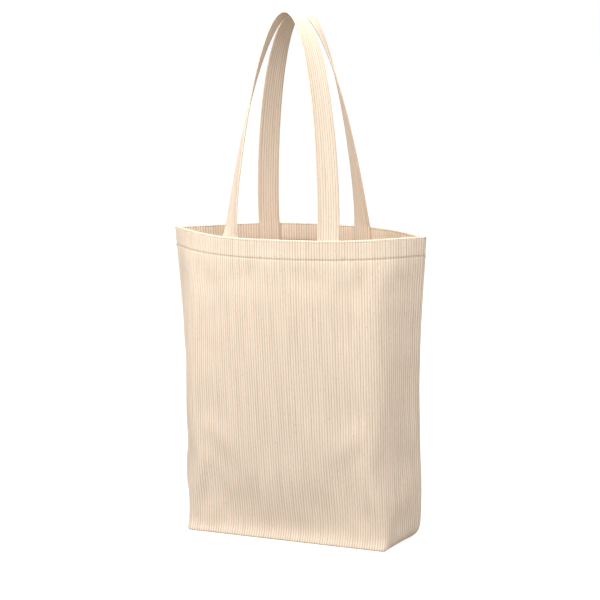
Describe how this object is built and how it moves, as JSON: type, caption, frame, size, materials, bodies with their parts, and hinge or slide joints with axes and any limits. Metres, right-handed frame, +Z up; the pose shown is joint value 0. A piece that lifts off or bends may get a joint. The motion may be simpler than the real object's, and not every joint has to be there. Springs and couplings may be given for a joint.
{
  "type": "canvas tote bag",
  "caption": "Open tote bag of ribbed cream canvas with a boxed base, a folded hem and two long flat handles that swing out over the rim.",
  "frame": {"origin": "under the middle of the base, on the surface that the bag stands on", "axes": "+Z up, X along the mouth from the left side seam to the right one, front panel at -Y"},
  "size_m": [0.3266, 0.157, 0.6337],
  "materials": {
    "canvas": "cream canvas with fine upright ribs, cream crests and tan valleys",
    "canvas_inside": "the same ribbed canvas seen from its inner face",
    "strap_canvas": "the same ribbed canvas folded into a flat strap, ribs lengthwise",
    "thread": "matt cream sewing thread"
  },
  "bodies": {
    "bag": {"front_panel": "canvas", "back_panel": "canvas", "front_hem": "canvas_inside", "back_hem": "canvas_inside", "left_side_seam": "canvas_inside", "right_side_seam": "canvas_inside", "left_gusset_seam": "canvas_inside", "right_gusset_seam": "canvas_inside", "bottom_seam": "canvas_inside", "left_side_overlock": "thread", "right_side_overlock": "thread", "left_gusset_overlock": "thread", "right_gusset_overlock": "thread", "bottom_overlock": "thread", "front_rim_stitching": "thread", "back_rim_stitching": "thread", "front_hem_stitching": "thread", "back_hem_stitching": "thread", "front_handle_ends": "strap_canvas", "back_handle_ends": "strap_canvas", "front_end_stitching": "thread", "back_end_stitching": "thread"},
    "front_handle": {"front_handle": "strap_canvas", "front_handle_stitching": "thread"},
    "back_handle": {"back_handle": "strap_canvas", "back_handle_stitching": "thread"}
  },
  "joints": [
    {"name": "front_handle_swing", "type": "hinge", "parent": "bag", "child": "front_handle", "pos_m": [0, -0.0725, 0.3715], "axis": [1, 0, 0], "range_deg": [-2.5, 180]},
    {"name": "back_handle_swing", "type": "hinge", "parent": "bag", "child": "back_handle", "pos_m": [0, 0.0725, 0.3715], "axis": [-1, 0, 0], "range_deg": [-2.5, 180]}
  ]
}
